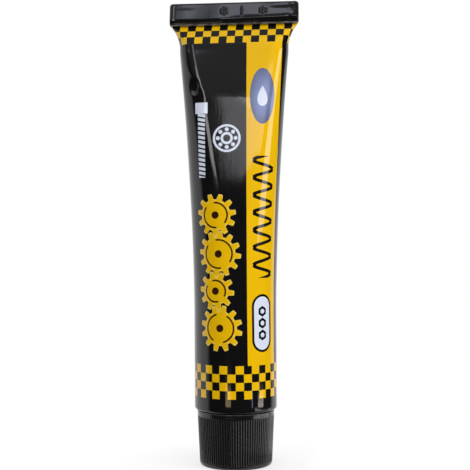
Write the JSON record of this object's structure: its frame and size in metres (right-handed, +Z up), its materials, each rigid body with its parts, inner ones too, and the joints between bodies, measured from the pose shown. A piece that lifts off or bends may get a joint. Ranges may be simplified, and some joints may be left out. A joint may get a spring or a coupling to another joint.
{
  "type": "grease tube",
  "caption": "Collapsible aluminium tube of graphite grease, round at the shoulder and folded flat at its filled end, standing on a black ribbed screw cap that unscrews.",
  "frame": {"origin": "middle of the cap's end face, which the tube stands on", "axes": "+Z up the tube's axis from the cap to the fold, X along the fold, the printed front faces -Y"},
  "size_m": [0.0468, 0.03, 0.1684],
  "materials": {
    "lacquered_foil": "gloss black lacquer on aluminium foil, printed in golden yellow",
    "latex": "matt",
    "grease": "soft, dark graphite grey",
    "cap_plastic": "satin black moulding",
    "liner_foam": "matt"
  },
  "bodies": {
    "tube": {"tube_body": "lacquered_foil", "end_seal_band": "latex", "grease_fill": "grease"},
    "liner": {"cap_liner": "liner_foam"},
    "cap": {"screw_cap": "cap_plastic"}
  },
  "joints": [
    {"name": "cap_travel", "type": "slide", "parent": "tube", "child": "liner", "axis": [0, 0, -1], "range_m": [0, 0.009]},
    {"name": "cap_turn", "type": "hinge", "parent": "liner", "child": "cap", "pos_m": [0, 0, 0], "axis": [0, 0, -1], "range_deg": [0, 2160]}
  ],
  "couplings": [
    {"joint": "cap_travel", "follows": "cap_turn", "m_per_rad": 0.00023873}
  ]
}
